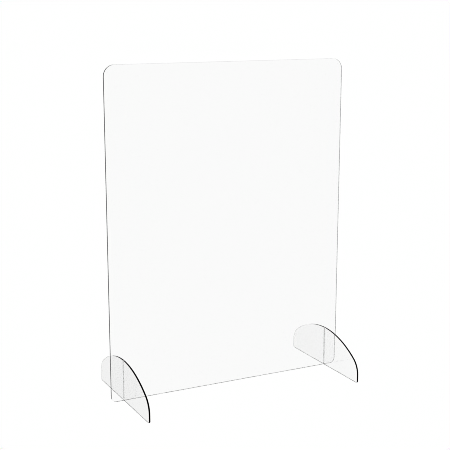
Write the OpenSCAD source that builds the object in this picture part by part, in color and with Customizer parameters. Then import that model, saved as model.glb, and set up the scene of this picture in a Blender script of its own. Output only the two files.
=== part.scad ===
// Free-standing sneeze guard of clear acrylic sheet.
// One upright panel stands across two half-round feet. Panel and feet cross in half-lap
// slots: each foot is slotted from its top edge and the panel from its bottom edge.
// X runs along the panel, -Y faces the customer, +Z is up. The origin is on the counter,
// in the middle of the panel.

/* [Panel] */
// Width of the panel
panel_w = 600; // [400:10:900]
// Height of the panel above the counter
panel_h = 760; // [400:10:1000]
// Radius of the panel's two top corners
panel_top_r = 25; // [5:1:60]
// Radius of the panel's two bottom corners
panel_bottom_r = 12.5; // [2:0.5:25]

/* [Feet] */
// Depth of a foot, from its front end to its back end
foot_d = 300; // [250:5:320]
// Height of a foot at its middle
foot_h = 96; // [88:1:130]
// Radius of the long arc over a foot
foot_arc_r = 230; // [200:5:400]
// Radius that turns the long arc down into each end of a foot
foot_end_r = 44; // [20:1:60]
// Radius of a foot's two bottom corners
foot_bottom_r = 5; // [1:0.5:8]
// Distance from a side edge of the panel to the middle of the nearer foot
foot_inset = 31.5; // [30:0.5:120]

/* [Sheet and slots] */
// Thickness of the acrylic sheet
sheet_t = 3; // [2:0.5:6]
// How much wider a slot is than the sheet that stands in it
slot_play = 0.2; // [0.1:0.05:0.5]
// Gap between the closed ends of two crossed slots
slot_end_gap = 0.5; // [0.2:0.1:1]

/* [Hidden] */
$fn = 128;

// Cutters run this far past the faces that they cut
cut_over = 1;

// Each slot takes half of the crossing, and half of the gap between the closed ends
slot_w = sheet_t + slot_play;
slot_h = foot_h / 2 + slot_end_gap / 2;
foot_x = panel_w / 2 - foot_inset;

// The long arc's centre, below the foot, and the centre of the round at a foot's end.
// Two arcs meet smoothly where the line through their centres crosses both.
arc_z = foot_h - foot_arc_r;
end_y = foot_d / 2 - foot_end_r;
end_rise = sqrt(pow(foot_arc_r - foot_end_r, 2) - pow(end_y, 2));
end_z = arc_z + end_rise;
meet_y = end_y * foot_arc_r / (foot_arc_r - foot_end_r);

// A flat sheet, x to the right and y up. A corner radius of 0 leaves the corner square.
module sheet_outline(width, height, top_r, bottom_r) {
    difference() {
        translate([-width / 2, 0]) square([width, height]);
        for (side = [0, 1]) mirror([side, 0]) {
            translate([width / 2, height]) rotate(180) corner_waste(top_r);
            translate([width / 2, 0]) rotate(90) corner_waste(bottom_r);
        }
    }
}

// What a round of radius r takes off a square corner at the origin, in the first quadrant
module corner_waste(r) {
    difference() {
        translate([-cut_over, -cut_over]) square(r + cut_over);
        translate([r, r]) circle(r);
    }
}

// Half-moon outline of a foot: long arc, rounded ends, short upright lips, flat bottom
module foot_outline() {
    intersection() {
        union() {
            intersection() {
                translate([0, arc_z]) circle(foot_arc_r);
                translate([-meet_y, 0]) square([2 * meet_y, foot_h]);
            }
            for (side = [-1, 1]) translate([side * end_y, end_z]) circle(foot_end_r);
            translate([-foot_d / 2, 0]) square([foot_d, end_z]);
        }
        sheet_outline(foot_d, foot_h, 0, foot_bottom_r);
    }
}

module panel() {
    color("white", 0.35) rotate([90, 0, 0]) linear_extrude(sheet_t, center = true)
        difference() {
            sheet_outline(panel_w, panel_h, panel_top_r, panel_bottom_r);
            for (x = [-foot_x, foot_x])
                translate([x - slot_w / 2, -cut_over]) square([slot_w, slot_h + cut_over]);
        }
}

// A foot at its place along the panel
module foot(x) {
    color("gainsboro", 0.5) translate([x, 0, 0]) rotate([90, 0, 90])
        linear_extrude(sheet_t, center = true)
            difference() {
                foot_outline();
                translate([-slot_w / 2, foot_h - slot_h]) square([slot_w, slot_h + cut_over]);
            }
}

module left_foot() foot(-foot_x);

module right_foot() foot(foot_x);

panel();
left_foot();
right_foot();
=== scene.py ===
from math import asin, atan2, cos, pi, radians, sin, sqrt

import bmesh
import bpy
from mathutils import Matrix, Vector


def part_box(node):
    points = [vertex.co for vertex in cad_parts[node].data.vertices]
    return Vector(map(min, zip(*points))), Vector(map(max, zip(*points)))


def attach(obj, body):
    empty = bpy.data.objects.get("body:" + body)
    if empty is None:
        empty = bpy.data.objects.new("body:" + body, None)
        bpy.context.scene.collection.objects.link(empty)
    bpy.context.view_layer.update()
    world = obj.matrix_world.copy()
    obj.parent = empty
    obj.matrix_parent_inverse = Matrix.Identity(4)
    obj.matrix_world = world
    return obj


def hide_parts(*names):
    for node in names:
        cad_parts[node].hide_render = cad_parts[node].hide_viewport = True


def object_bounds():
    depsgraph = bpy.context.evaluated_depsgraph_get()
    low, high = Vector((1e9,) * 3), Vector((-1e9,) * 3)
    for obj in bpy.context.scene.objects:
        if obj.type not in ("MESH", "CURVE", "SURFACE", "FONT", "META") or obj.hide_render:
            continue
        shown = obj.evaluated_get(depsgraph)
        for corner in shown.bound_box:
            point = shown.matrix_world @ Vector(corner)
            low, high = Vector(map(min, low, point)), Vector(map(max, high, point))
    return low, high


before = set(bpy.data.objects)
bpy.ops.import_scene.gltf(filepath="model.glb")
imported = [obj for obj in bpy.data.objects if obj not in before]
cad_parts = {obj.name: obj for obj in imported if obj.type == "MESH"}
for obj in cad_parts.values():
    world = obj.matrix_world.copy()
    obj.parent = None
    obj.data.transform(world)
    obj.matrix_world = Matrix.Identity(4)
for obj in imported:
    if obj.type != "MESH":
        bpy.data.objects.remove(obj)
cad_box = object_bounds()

# The real object is three clear acrylic sheets: a panel stood across two half-moon feet.
# Lengths are metres. The sheets' overall sizes and places come from the frame.

# Panel
PANEL_TOP_R = 0.025         # radius of the two top corners
PANEL_BOTTOM_R = 0.0125     # radius of the two bottom corners

# Feet
FOOT_ARC_R = 0.230          # the long arc over a foot
FOOT_END_R = 0.044          # turns the long arc down into each end
FOOT_BOTTOM_R = 0.005       # the two bottom corners

# Slots
SLOT_PLAY = 0.0002          # how much wider a slot is than the sheet in it
SLOT_END_GAP = 0.0005       # gap between the closed ends of two crossed slots

# Edges
EDGE_ROUND = 0.0001         # radius along a sheet's edges
ROUND_STEPS = 3             # faces across that radius
SHARP_ANGLE = radians(40)   # faces that meet at more than this are shaded apart

# Outlines
ARC_STEP = radians(3)       # about how far an outline turns from one point to the next
LONG_ARC_STEP = radians(1)  # the same, on a foot's long arc
TINY = 0.000001             # two points this close are at the same place

# Materials of a sheet, in the order of its mesh's material slots
FACE, SAWN, POLISHED, SLOT = range(4)

ACRYLIC_IOR = 1.49

# These greys, transmissions and the glow were chosen so that the render looks like the
# photograph. They aren't measured properties of acrylic.
FACE_TINTS = (0.9905, 0.9927)
FACE_ROUGHNESS = (0.008, 0.045)     # where it is clean, and where it is most marked
PANEL_RIM_TRANSMISSION = 0.6
FOOT_RIM_TRANSMISSION = 1.0

# Cut edges: darkest and lightest grey, smoothest and roughest roughness, depth of the grooves
# The sawn bottom edges are frosted by the cut; their grey is darker than that and partly painted
# shade, the dark line where a sheet stands on the floor.
SAWN_EDGE_AND_PAINTED_SHADE = {"tints": (0.60, 0.76), "transmission": 0.3, "roughness": (0.4, 0.6),
             "groove_depth": 0.00004}
# Painted shade: the polished edges' near-black grey stands for the dark of light trapped in the
# sheet, not for a colour of clear acrylic.
POLISHED_EDGE_AND_PAINTED_SHADE = {"tints": (0.002, 0.006), "roughness": (0.02, 0.1), "groove_depth": 0.000004}
# Painted light: the slot edges glow, standing in for light carried along inside the sheet; their
# near-white grey is the frosted cut's own.
SLOT_EDGE_AND_PAINTED_GLOW = {"tints": (0.94, 1.0), "transmission": 0.0, "roughness": (0.4, 0.6),
             "groove_depth": 0.00004, "glow": 0.3}

# Patterns: how many blotches there are in a metre, level along a sheet, up it and through it
TINT_CLOUDS = (7, 5, 7)
WIPED_AREAS = (5, 4, 5)
WIPE_STREAKS = (9, 160, 9)
SCRATCHES = (25, 2600, 25)
CAST_WAVES = (14, 11, 14)
CUTTER_GROOVES = (2200, 2200, 60)
EDGE_STRETCHES = (45, 45, 200)

# How far the two kinds of mark lean in the sheet's plane
WIPE_LEAN = radians(28)
SCRATCH_LEAN = radians(-17)

# Where in a pattern's noise, 0 to 1, it starts to show and where it shows in full
ALL = (0, 1)
WIPED_SHOWS = (0.45, 0.65)
STREAKS_SHOW = (0.5, 0.75)
SCRATCHES_SHOW = (0.72, 0.8)
STRETCHES_SHOW = (0.3, 0.7)
ROUGHEST_SHOWS = (0.1, 0.45)

WAVE_HEIGHT = 0.00003       # of a cast sheet's faces, from hollow to crest
SCRATCH_DEPTH = 0.02        # as a share of that height

# Camera: the photograph's viewing angle, seen from the customer's side and from the left
CAMERA_AZIMUTH = radians(-26.784)
CAMERA_ELEVATION = radians(12.225)
CAMERA_DISTANCE = 2.3801
CAMERA_LENS_MM = 81.88
AIM_RIGHT = -0.0094         # where the view's axis passes the middle of the guard's box
AIM_UP = 0.0037

# Studio
FLOOR_GAP = 0.0003          # keeps the floor's face off the sheets' bottom faces
FLOOR_SIZE = 60.0           # reaches far past the object in every view
WHITE = 1.0                 # brightness of floor and backdrop
MIRRORED = 0.86             # their brightness where a sheet mirrors them, chosen by its look
FILTER_PIXELS = 1.0         # keeps thin lines as narrow as they are in the photograph


# ---------------------------------------------------------------- outlines

def arc(centre, radius, start, end, step=ARC_STEP):
    """Points along a round stretch, both ends included. Angles count from the first axis."""
    steps = max(2, round(abs(end - start) / step))
    turns = [start + (end - start) * i / steps for i in range(steps + 1)]
    return [Vector((centre[0] + radius * cos(t), centre[1] + radius * sin(t))) for t in turns]


def mirrored(points):
    """The same stretch on the other side of the second axis, in the order that carries on."""
    return [Vector((-p.x, p.y)) for p in reversed(points)]


def panel_outline(width, height, slot_x, slot_w, slot_h):
    """Half of the panel from a slot along its bottom edge and up to its top, then the other
    half."""
    half = width / 2
    low, high = PANEL_BOTTOM_R, PANEL_TOP_R
    slot = [Vector((slot_x - slot_w / 2, 0)), Vector((slot_x - slot_w / 2, slot_h)),
            Vector((slot_x + slot_w / 2, slot_h)), Vector((slot_x + slot_w / 2, 0))]
    right = slot + arc((half - low, low), low, -pi / 2, 0)
    right += arc((half - high, height - high), high, 0, pi / 2)
    return right + mirrored(right)


def foot_outline(depth, height, slot_w, slot_h):
    """Half of the foot from its bottom up to its slot, then the other half."""
    half = depth / 2
    arc_centre = (0, height - FOOT_ARC_R)
    end_y = half - FOOT_END_R
    reach = FOOT_ARC_R - FOOT_END_R
    end_centre = (end_y, arc_centre[1] + sqrt(reach ** 2 - end_y ** 2))
    meet = atan2(end_centre[1] - arc_centre[1], end_y)
    mouth = pi / 2 - asin(slot_w / 2 / FOOT_ARC_R)
    right = arc((half - FOOT_BOTTOM_R, FOOT_BOTTOM_R), FOOT_BOTTOM_R, -pi / 2, 0)
    right += arc(end_centre, FOOT_END_R, 0, meet)[:-1]
    right += arc(arc_centre, FOOT_ARC_R, meet, mouth, LONG_ARC_STEP)
    right += [Vector((slot_w / 2, height - slot_h))]
    return right + mirrored(right)


# ---------------------------------------------------------------- sheets

def inset(outline, distance):
    """The outline moved inwards by distance. It runs anticlockwise."""
    moved = []
    for i, here in enumerate(outline):
        before = (here - outline[i - 1]).normalized()
        after = (outline[(i + 1) % len(outline)] - here).normalized()
        inward = Vector((-before.y, before.x)) + Vector((-after.y, after.x))
        moved.append(here + inward * (2 * distance / inward.length_squared))
    return moved


def edge_levels(thickness):
    """How far in, and how high from the sheet's middle, its edge is at each step from one face
    round to the other."""
    turns = [pi / 2 * i / ROUND_STEPS for i in range(ROUND_STEPS + 1)]
    upper = [(EDGE_ROUND * (1 - cos(t)), thickness / 2 - EDGE_ROUND * (1 - sin(t)))
             for t in turns]
    return [(back, -high) for back, high in reversed(upper)] + upper


def edge_finish(slot_x, slot_w):
    """The rule for a sheet's edges: sawn along the bottom, rough in the slots, whose middles are
    slot_x to either side of the sheet's, and polished everywhere else."""
    def finish(start, end):
        if max(start.y, end.y) < TINY:
            return SAWN
        in_slot = all(abs(abs(p.x) - slot_x) < slot_w / 2 + TINY for p in (start, end))
        return SLOT if in_slot else POLISHED
    return finish


def sheet(name, outline, place, thickness, finish, materials):
    """A closed sheet cut to the outline, its edges rounded a little. place puts a point of the
    outline, and its height in the thickness, into the frame. finish gives the material of the
    edge between two neighbouring points of the outline, as its place in materials. The faces
    and the roundings take the first one."""
    mesh = bmesh.new()
    rings = [[mesh.verts.new(place(p, high)) for p in inset(outline, back)]
             for back, high in edge_levels(thickness)]
    count = len(outline)
    for level, (lower, upper) in enumerate(zip(rings, rings[1:])):
        for i in range(count):
            j = (i + 1) % count
            face = mesh.faces.new((lower[i], lower[j], upper[j], upper[i]))
            if level == ROUND_STEPS:
                face.material_index = finish(outline[i], outline[j])
    mesh.faces.new(list(reversed(rings[0])))
    mesh.faces.new(rings[-1])
    bmesh.ops.recalc_face_normals(mesh, faces=mesh.faces)
    for face in mesh.faces:
        face.smooth = True
    data = bpy.data.meshes.new(name)
    mesh.to_mesh(data)
    mesh.free()
    for material in materials:
        data.materials.append(material)
    piece = bpy.data.objects.new(name, data)
    bpy.context.scene.collection.objects.link(piece)
    data.set_sharp_from_angle(angle=SHARP_ANGLE)
    weighted = piece.modifiers.new("flat faces stay flat", "WEIGHTED_NORMAL")
    weighted.keep_sharp = True
    return piece


# ---------------------------------------------------------------- materials

class Acrylic:
    """An acrylic material for a sheet that is thin along one axis: 0 for X, 1 for Y. Its
    patterns are in metres on the sheet, so they are the same size on every piece."""

    def __init__(self, name, thin):
        self.material = bpy.data.materials.new(name)
        self.material.use_nodes = True
        self.nodes = self.material.node_tree.nodes
        self.links = self.material.node_tree.links
        self.shader = self.nodes["Principled BSDF"]
        self.thin = thin
        self.set("IOR", ACRYLIC_IOR)

    def set(self, socket, value):
        self.shader.inputs[socket].default_value = value

    def drive(self, socket, output):
        self.links.new(output, self.shader.inputs[socket])

    def noise(self, blotches, lean=0.0, detail=2.0):
        """Cloudy noise from 0 to 1. blotches says how many there are in a metre level along the
        sheet, up it and through it, and lean turns them all in the sheet's plane."""
        along, up, through = blotches
        place = self.nodes.new("ShaderNodeTexCoord")
        turned = self.nodes.new("ShaderNodeMapping")
        turned.inputs["Rotation"].default_value[self.thin] = lean
        scaled = self.nodes.new("ShaderNodeMapping")
        scale = [along, along, up]
        scale[self.thin] = through
        scaled.inputs["Scale"].default_value = scale
        cloud = self.nodes.new("ShaderNodeTexNoise")
        cloud.inputs["Scale"].default_value = 1.0
        cloud.inputs["Detail"].default_value = detail
        self.links.new(place.outputs["Object"], turned.inputs["Vector"])
        self.links.new(turned.outputs["Vector"], scaled.inputs["Vector"])
        self.links.new(scaled.outputs["Vector"], cloud.inputs["Vector"])
        return cloud.outputs["Fac"]

    def spread(self, value, between, to=ALL):
        """value becomes the numbers of to while it goes from one end of between to the other,
        and stays at them beyond those."""
        node = self.nodes.new("ShaderNodeMapRange")
        for socket, number in zip(("From Min", "From Max", "To Min", "To Max"),
                                  (*between, *to)):
            node.inputs[socket].default_value = number
        self.links.new(value, node.inputs["Value"])
        return node.outputs["Result"]

    def math(self, operation, first, second):
        node = self.nodes.new("ShaderNodeMath")
        node.operation = operation
        self.links.new(first, node.inputs[0])
        self.links.new(second, node.inputs[1])
        return node.outputs["Value"]

    def tint(self, value, greys):
        """The base colour: from the first grey to the second as value goes from 0 to 1."""
        ramp = self.nodes.new("ShaderNodeValToRGB")
        for stop, grey in zip(ramp.color_ramp.elements, greys):
            stop.color = (grey, grey, grey, 1)
        self.links.new(value, ramp.inputs["Fac"])
        self.drive("Base Color", ramp.outputs["Color"])

    def bump(self, height, distance):
        node = self.nodes.new("ShaderNodeBump")
        node.inputs["Distance"].default_value = distance
        self.links.new(height, node.inputs["Height"])
        self.drive("Normal", node.outputs["Normal"])


def face_material(name, thin):
    """The glossy faces: the faint waviness of a cast sheet, streaks where a cloth has wiped them
    and hairline scratches, all too slight to cloud what is seen through them."""
    face = Acrylic(name, thin)
    face.set("Transmission Weight", 1.0)
    face.tint(face.noise(TINT_CLOUDS), FACE_TINTS)
    wiped = face.spread(face.noise(WIPED_AREAS, detail=1.0), WIPED_SHOWS)
    streaks = face.spread(face.noise(WIPE_STREAKS, WIPE_LEAN, 3.0), STREAKS_SHOW)
    scratches = face.spread(face.noise(SCRATCHES, SCRATCH_LEAN, 1.0), SCRATCHES_SHOW)
    marks = face.math("MAXIMUM", face.math("MULTIPLY", wiped, streaks), scratches)
    face.drive("Roughness", face.spread(marks, ALL, FACE_ROUGHNESS))
    waves = face.noise(CAST_WAVES, detail=0.0)
    scored = face.spread(scratches, ALL, (0, -SCRATCH_DEPTH))
    face.bump(face.math("ADD", waves, scored), WAVE_HEIGHT)
    return face.material


def edge_material(name, thin, tints, transmission, roughness, groove_depth, glow=0.0):
    """A cut edge of the sheet, with the fine grooves that the cutter leaves across it, and some
    stretches smoother than others. Seen square on it mirrors nothing, which leaves its grey,
    what comes through the sheet and any glow. That grey is painted shade on the polished edges
    and partly painted shade on the sawn ones, and the glow of the slot edges is painted light.
    At a shallow angle it still mirrors."""
    edge = Acrylic(name, thin)
    edge.set("Transmission Weight", transmission)
    edge.set("Specular Tint", (0, 0, 0, 1))
    # Painted light where glow is above 0: the edge emits though it is no lamp.
    edge.set("Emission Color", (1, 1, 1, 1))
    edge.set("Emission Strength", glow)
    grooves = edge.noise(CUTTER_GROOVES, detail=3.0)
    stretches = edge.noise(EDGE_STRETCHES, detail=1.0)
    edge.tint(edge.spread(stretches, STRETCHES_SHOW), tints)
    rough = edge.math("MULTIPLY", grooves, stretches)
    edge.drive("Roughness", edge.spread(rough, ROUGHEST_SHOWS, roughness))
    edge.bump(grooves, groove_depth)
    return edge.material


def sheet_materials(kind, thin, rim_transmission):
    """Face, sawn edge (its grey partly painted shade), polished edge (its near black painted
    shade) and slot edge (its glow painted light) of one kind of sheet, in that order.
    """
    return (face_material(kind + "_face", thin),
            edge_material(kind + "_sawn_edge_and_painted_shade", thin, **SAWN_EDGE_AND_PAINTED_SHADE),
            # The polished edge's near-black base colour is painted shade.
            edge_material(kind + "_polished_edge_and_painted_shade", thin, transmission=rim_transmission,
                          **POLISHED_EDGE_AND_PAINTED_SHADE),
            edge_material(kind + "_slot_edge_and_painted_glow", thin, **SLOT_EDGE_AND_PAINTED_GLOW))


def studio_brightness(nodes, links):
    """White, or a little less once a sheet has reflected the light anywhere on its way."""
    path = nodes.new("ShaderNodeLightPath")
    level = nodes.new("ShaderNodeMapRange")
    level.inputs["To Min"].default_value = WHITE
    level.inputs["To Max"].default_value = MIRRORED
    links.new(path.outputs["Glossy Depth"], level.inputs["Value"])
    return level.outputs["Result"]


# ---------------------------------------------------------------- the guard

def stand_for(piece, node):
    """The piece takes the place of the CAD node and moves with the body of the same name."""
    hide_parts(node)
    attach(piece, node)


def build_guard():
    """The panel and the two feet, which cross it in slots half as deep as a foot is high."""
    panel_low, panel_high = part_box("panel")
    foot_low, foot_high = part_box("left_foot")
    thickness = panel_high[1] - panel_low[1]
    foot_height = foot_high[2] - foot_low[2]
    slot_w = thickness + SLOT_PLAY
    slot_h = foot_height / 2 + SLOT_END_GAP / 2
    foot_x = -(foot_low[0] + foot_high[0]) / 2

    outline = panel_outline(panel_high[0] - panel_low[0], panel_high[2], foot_x, slot_w, slot_h)
    materials = sheet_materials("clear_panel", 1, PANEL_RIM_TRANSMISSION)
    panel = sheet("panel_sheet", outline, lambda p, height: (p.x, height, p.y), thickness,
                  edge_finish(foot_x, slot_w), materials)
    stand_for(panel, "panel")

    outline = foot_outline(foot_high[1] - foot_low[1], foot_height, slot_w, slot_h)
    materials = sheet_materials("clear_foot", 0, FOOT_RIM_TRANSMISSION)
    for side, node in ((-1, "left_foot"), (1, "right_foot")):
        foot = sheet(node + "_sheet", outline,
                     lambda p, height: (side * foot_x + height, p.x, p.y), thickness,
                     edge_finish(0, slot_w), materials)
        stand_for(foot, node)


# ---------------------------------------------------------------- studio

def build_floor():
    """A table that glows evenly, so that nothing standing on it casts a shadow."""
    material = bpy.data.materials.new("light_table")
    material.use_nodes = True
    nodes, links = material.node_tree.nodes, material.node_tree.links
    nodes.clear()
    output = nodes.new("ShaderNodeOutputMaterial")
    glow = nodes.new("ShaderNodeEmission")
    links.new(studio_brightness(nodes, links), glow.inputs["Strength"])
    links.new(glow.outputs["Emission"], output.inputs["Surface"])
    mesh = bmesh.new()
    bmesh.ops.create_grid(mesh, x_segments=1, y_segments=1, size=FLOOR_SIZE / 2)
    data = bpy.data.meshes.new("floor")
    mesh.to_mesh(data)
    mesh.free()
    data.materials.append(material)
    floor = bpy.data.objects.new("floor", data)
    floor.location.z = cad_box[0][2] - FLOOR_GAP
    bpy.context.scene.collection.objects.link(floor)


def build_backdrop():
    """The same even white all round, which is the only other light."""
    world = bpy.data.worlds.new("studio")
    world.use_nodes = True
    nodes, links = world.node_tree.nodes, world.node_tree.links
    links.new(studio_brightness(nodes, links), nodes["Background"].inputs["Strength"])
    nodes["Background"].inputs["Color"].default_value = (1, 1, 1, 1)
    bpy.context.scene.world = world


def build_camera():
    """The photograph's view, aimed close to the middle of the guard's box."""
    low, high = Vector(cad_box[0]), Vector(cad_box[1])
    back = Vector((sin(CAMERA_AZIMUTH) * cos(CAMERA_ELEVATION),
                   -cos(CAMERA_AZIMUTH) * cos(CAMERA_ELEVATION),
                   sin(CAMERA_ELEVATION)))
    turn = back.to_track_quat("Z", "Y")
    aim = (low + high) / 2 + turn @ Vector((AIM_RIGHT, AIM_UP, 0))
    data = bpy.data.cameras.new("camera")
    data.lens = CAMERA_LENS_MM
    camera = bpy.data.objects.new("camera", data)
    camera.location = aim + back * CAMERA_DISTANCE
    camera.rotation_euler = turn.to_euler()
    bpy.context.scene.collection.objects.link(camera)
    bpy.context.scene.camera = camera


build_camera()
build_guard()
build_floor()
build_backdrop()
# Raw, so that a line thinner than a pixel darkens it by the share of the pixel that it covers
bpy.context.scene.view_settings.view_transform = "Raw"
bpy.context.scene.cycles.filter_width = FILTER_PIXELS
